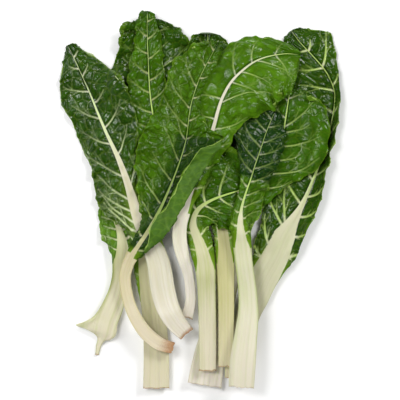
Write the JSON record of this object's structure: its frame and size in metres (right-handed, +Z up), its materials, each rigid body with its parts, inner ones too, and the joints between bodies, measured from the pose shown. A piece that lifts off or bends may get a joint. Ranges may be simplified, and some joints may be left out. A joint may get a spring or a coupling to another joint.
{
  "type": "chard bunch",
  "caption": "Loose bunch of white-stemmed chard lying on its side: broad pale stalks, curled and folded dark green leaves.",
  "frame": {"origin": "on the surface that the bunch lies on, below the middle of its bounding box", "axes": "+Y from the cut ends to the leaf tips, +X to the right as seen from above, +Z up from the surface"},
  "size_m": [0.2828, 0.3796, 0.0406],
  "materials": {
    "dark_leaf": "waxy sheen, whitish stalk",
    "mid_leaf": "waxy sheen, whitish stalk",
    "bright_leaf": "waxy sheen, whitish stalk"
  },
  "bodies": {
    "root": {"right_leaf": "dark_leaf", "right_inner_leaf": "mid_leaf", "back_left_leaf": "dark_leaf", "back_left_inner_leaf": "bright_leaf", "back_middle_leaf": "dark_leaf", "curled_leaf": "mid_leaf", "bent_leaf": "mid_leaf", "low_left_leaf": "mid_leaf", "arched_leaf": "bright_leaf", "front_left_leaf": "dark_leaf", "folded_leaf": "bright_leaf"}
  },
  "joints": []
}
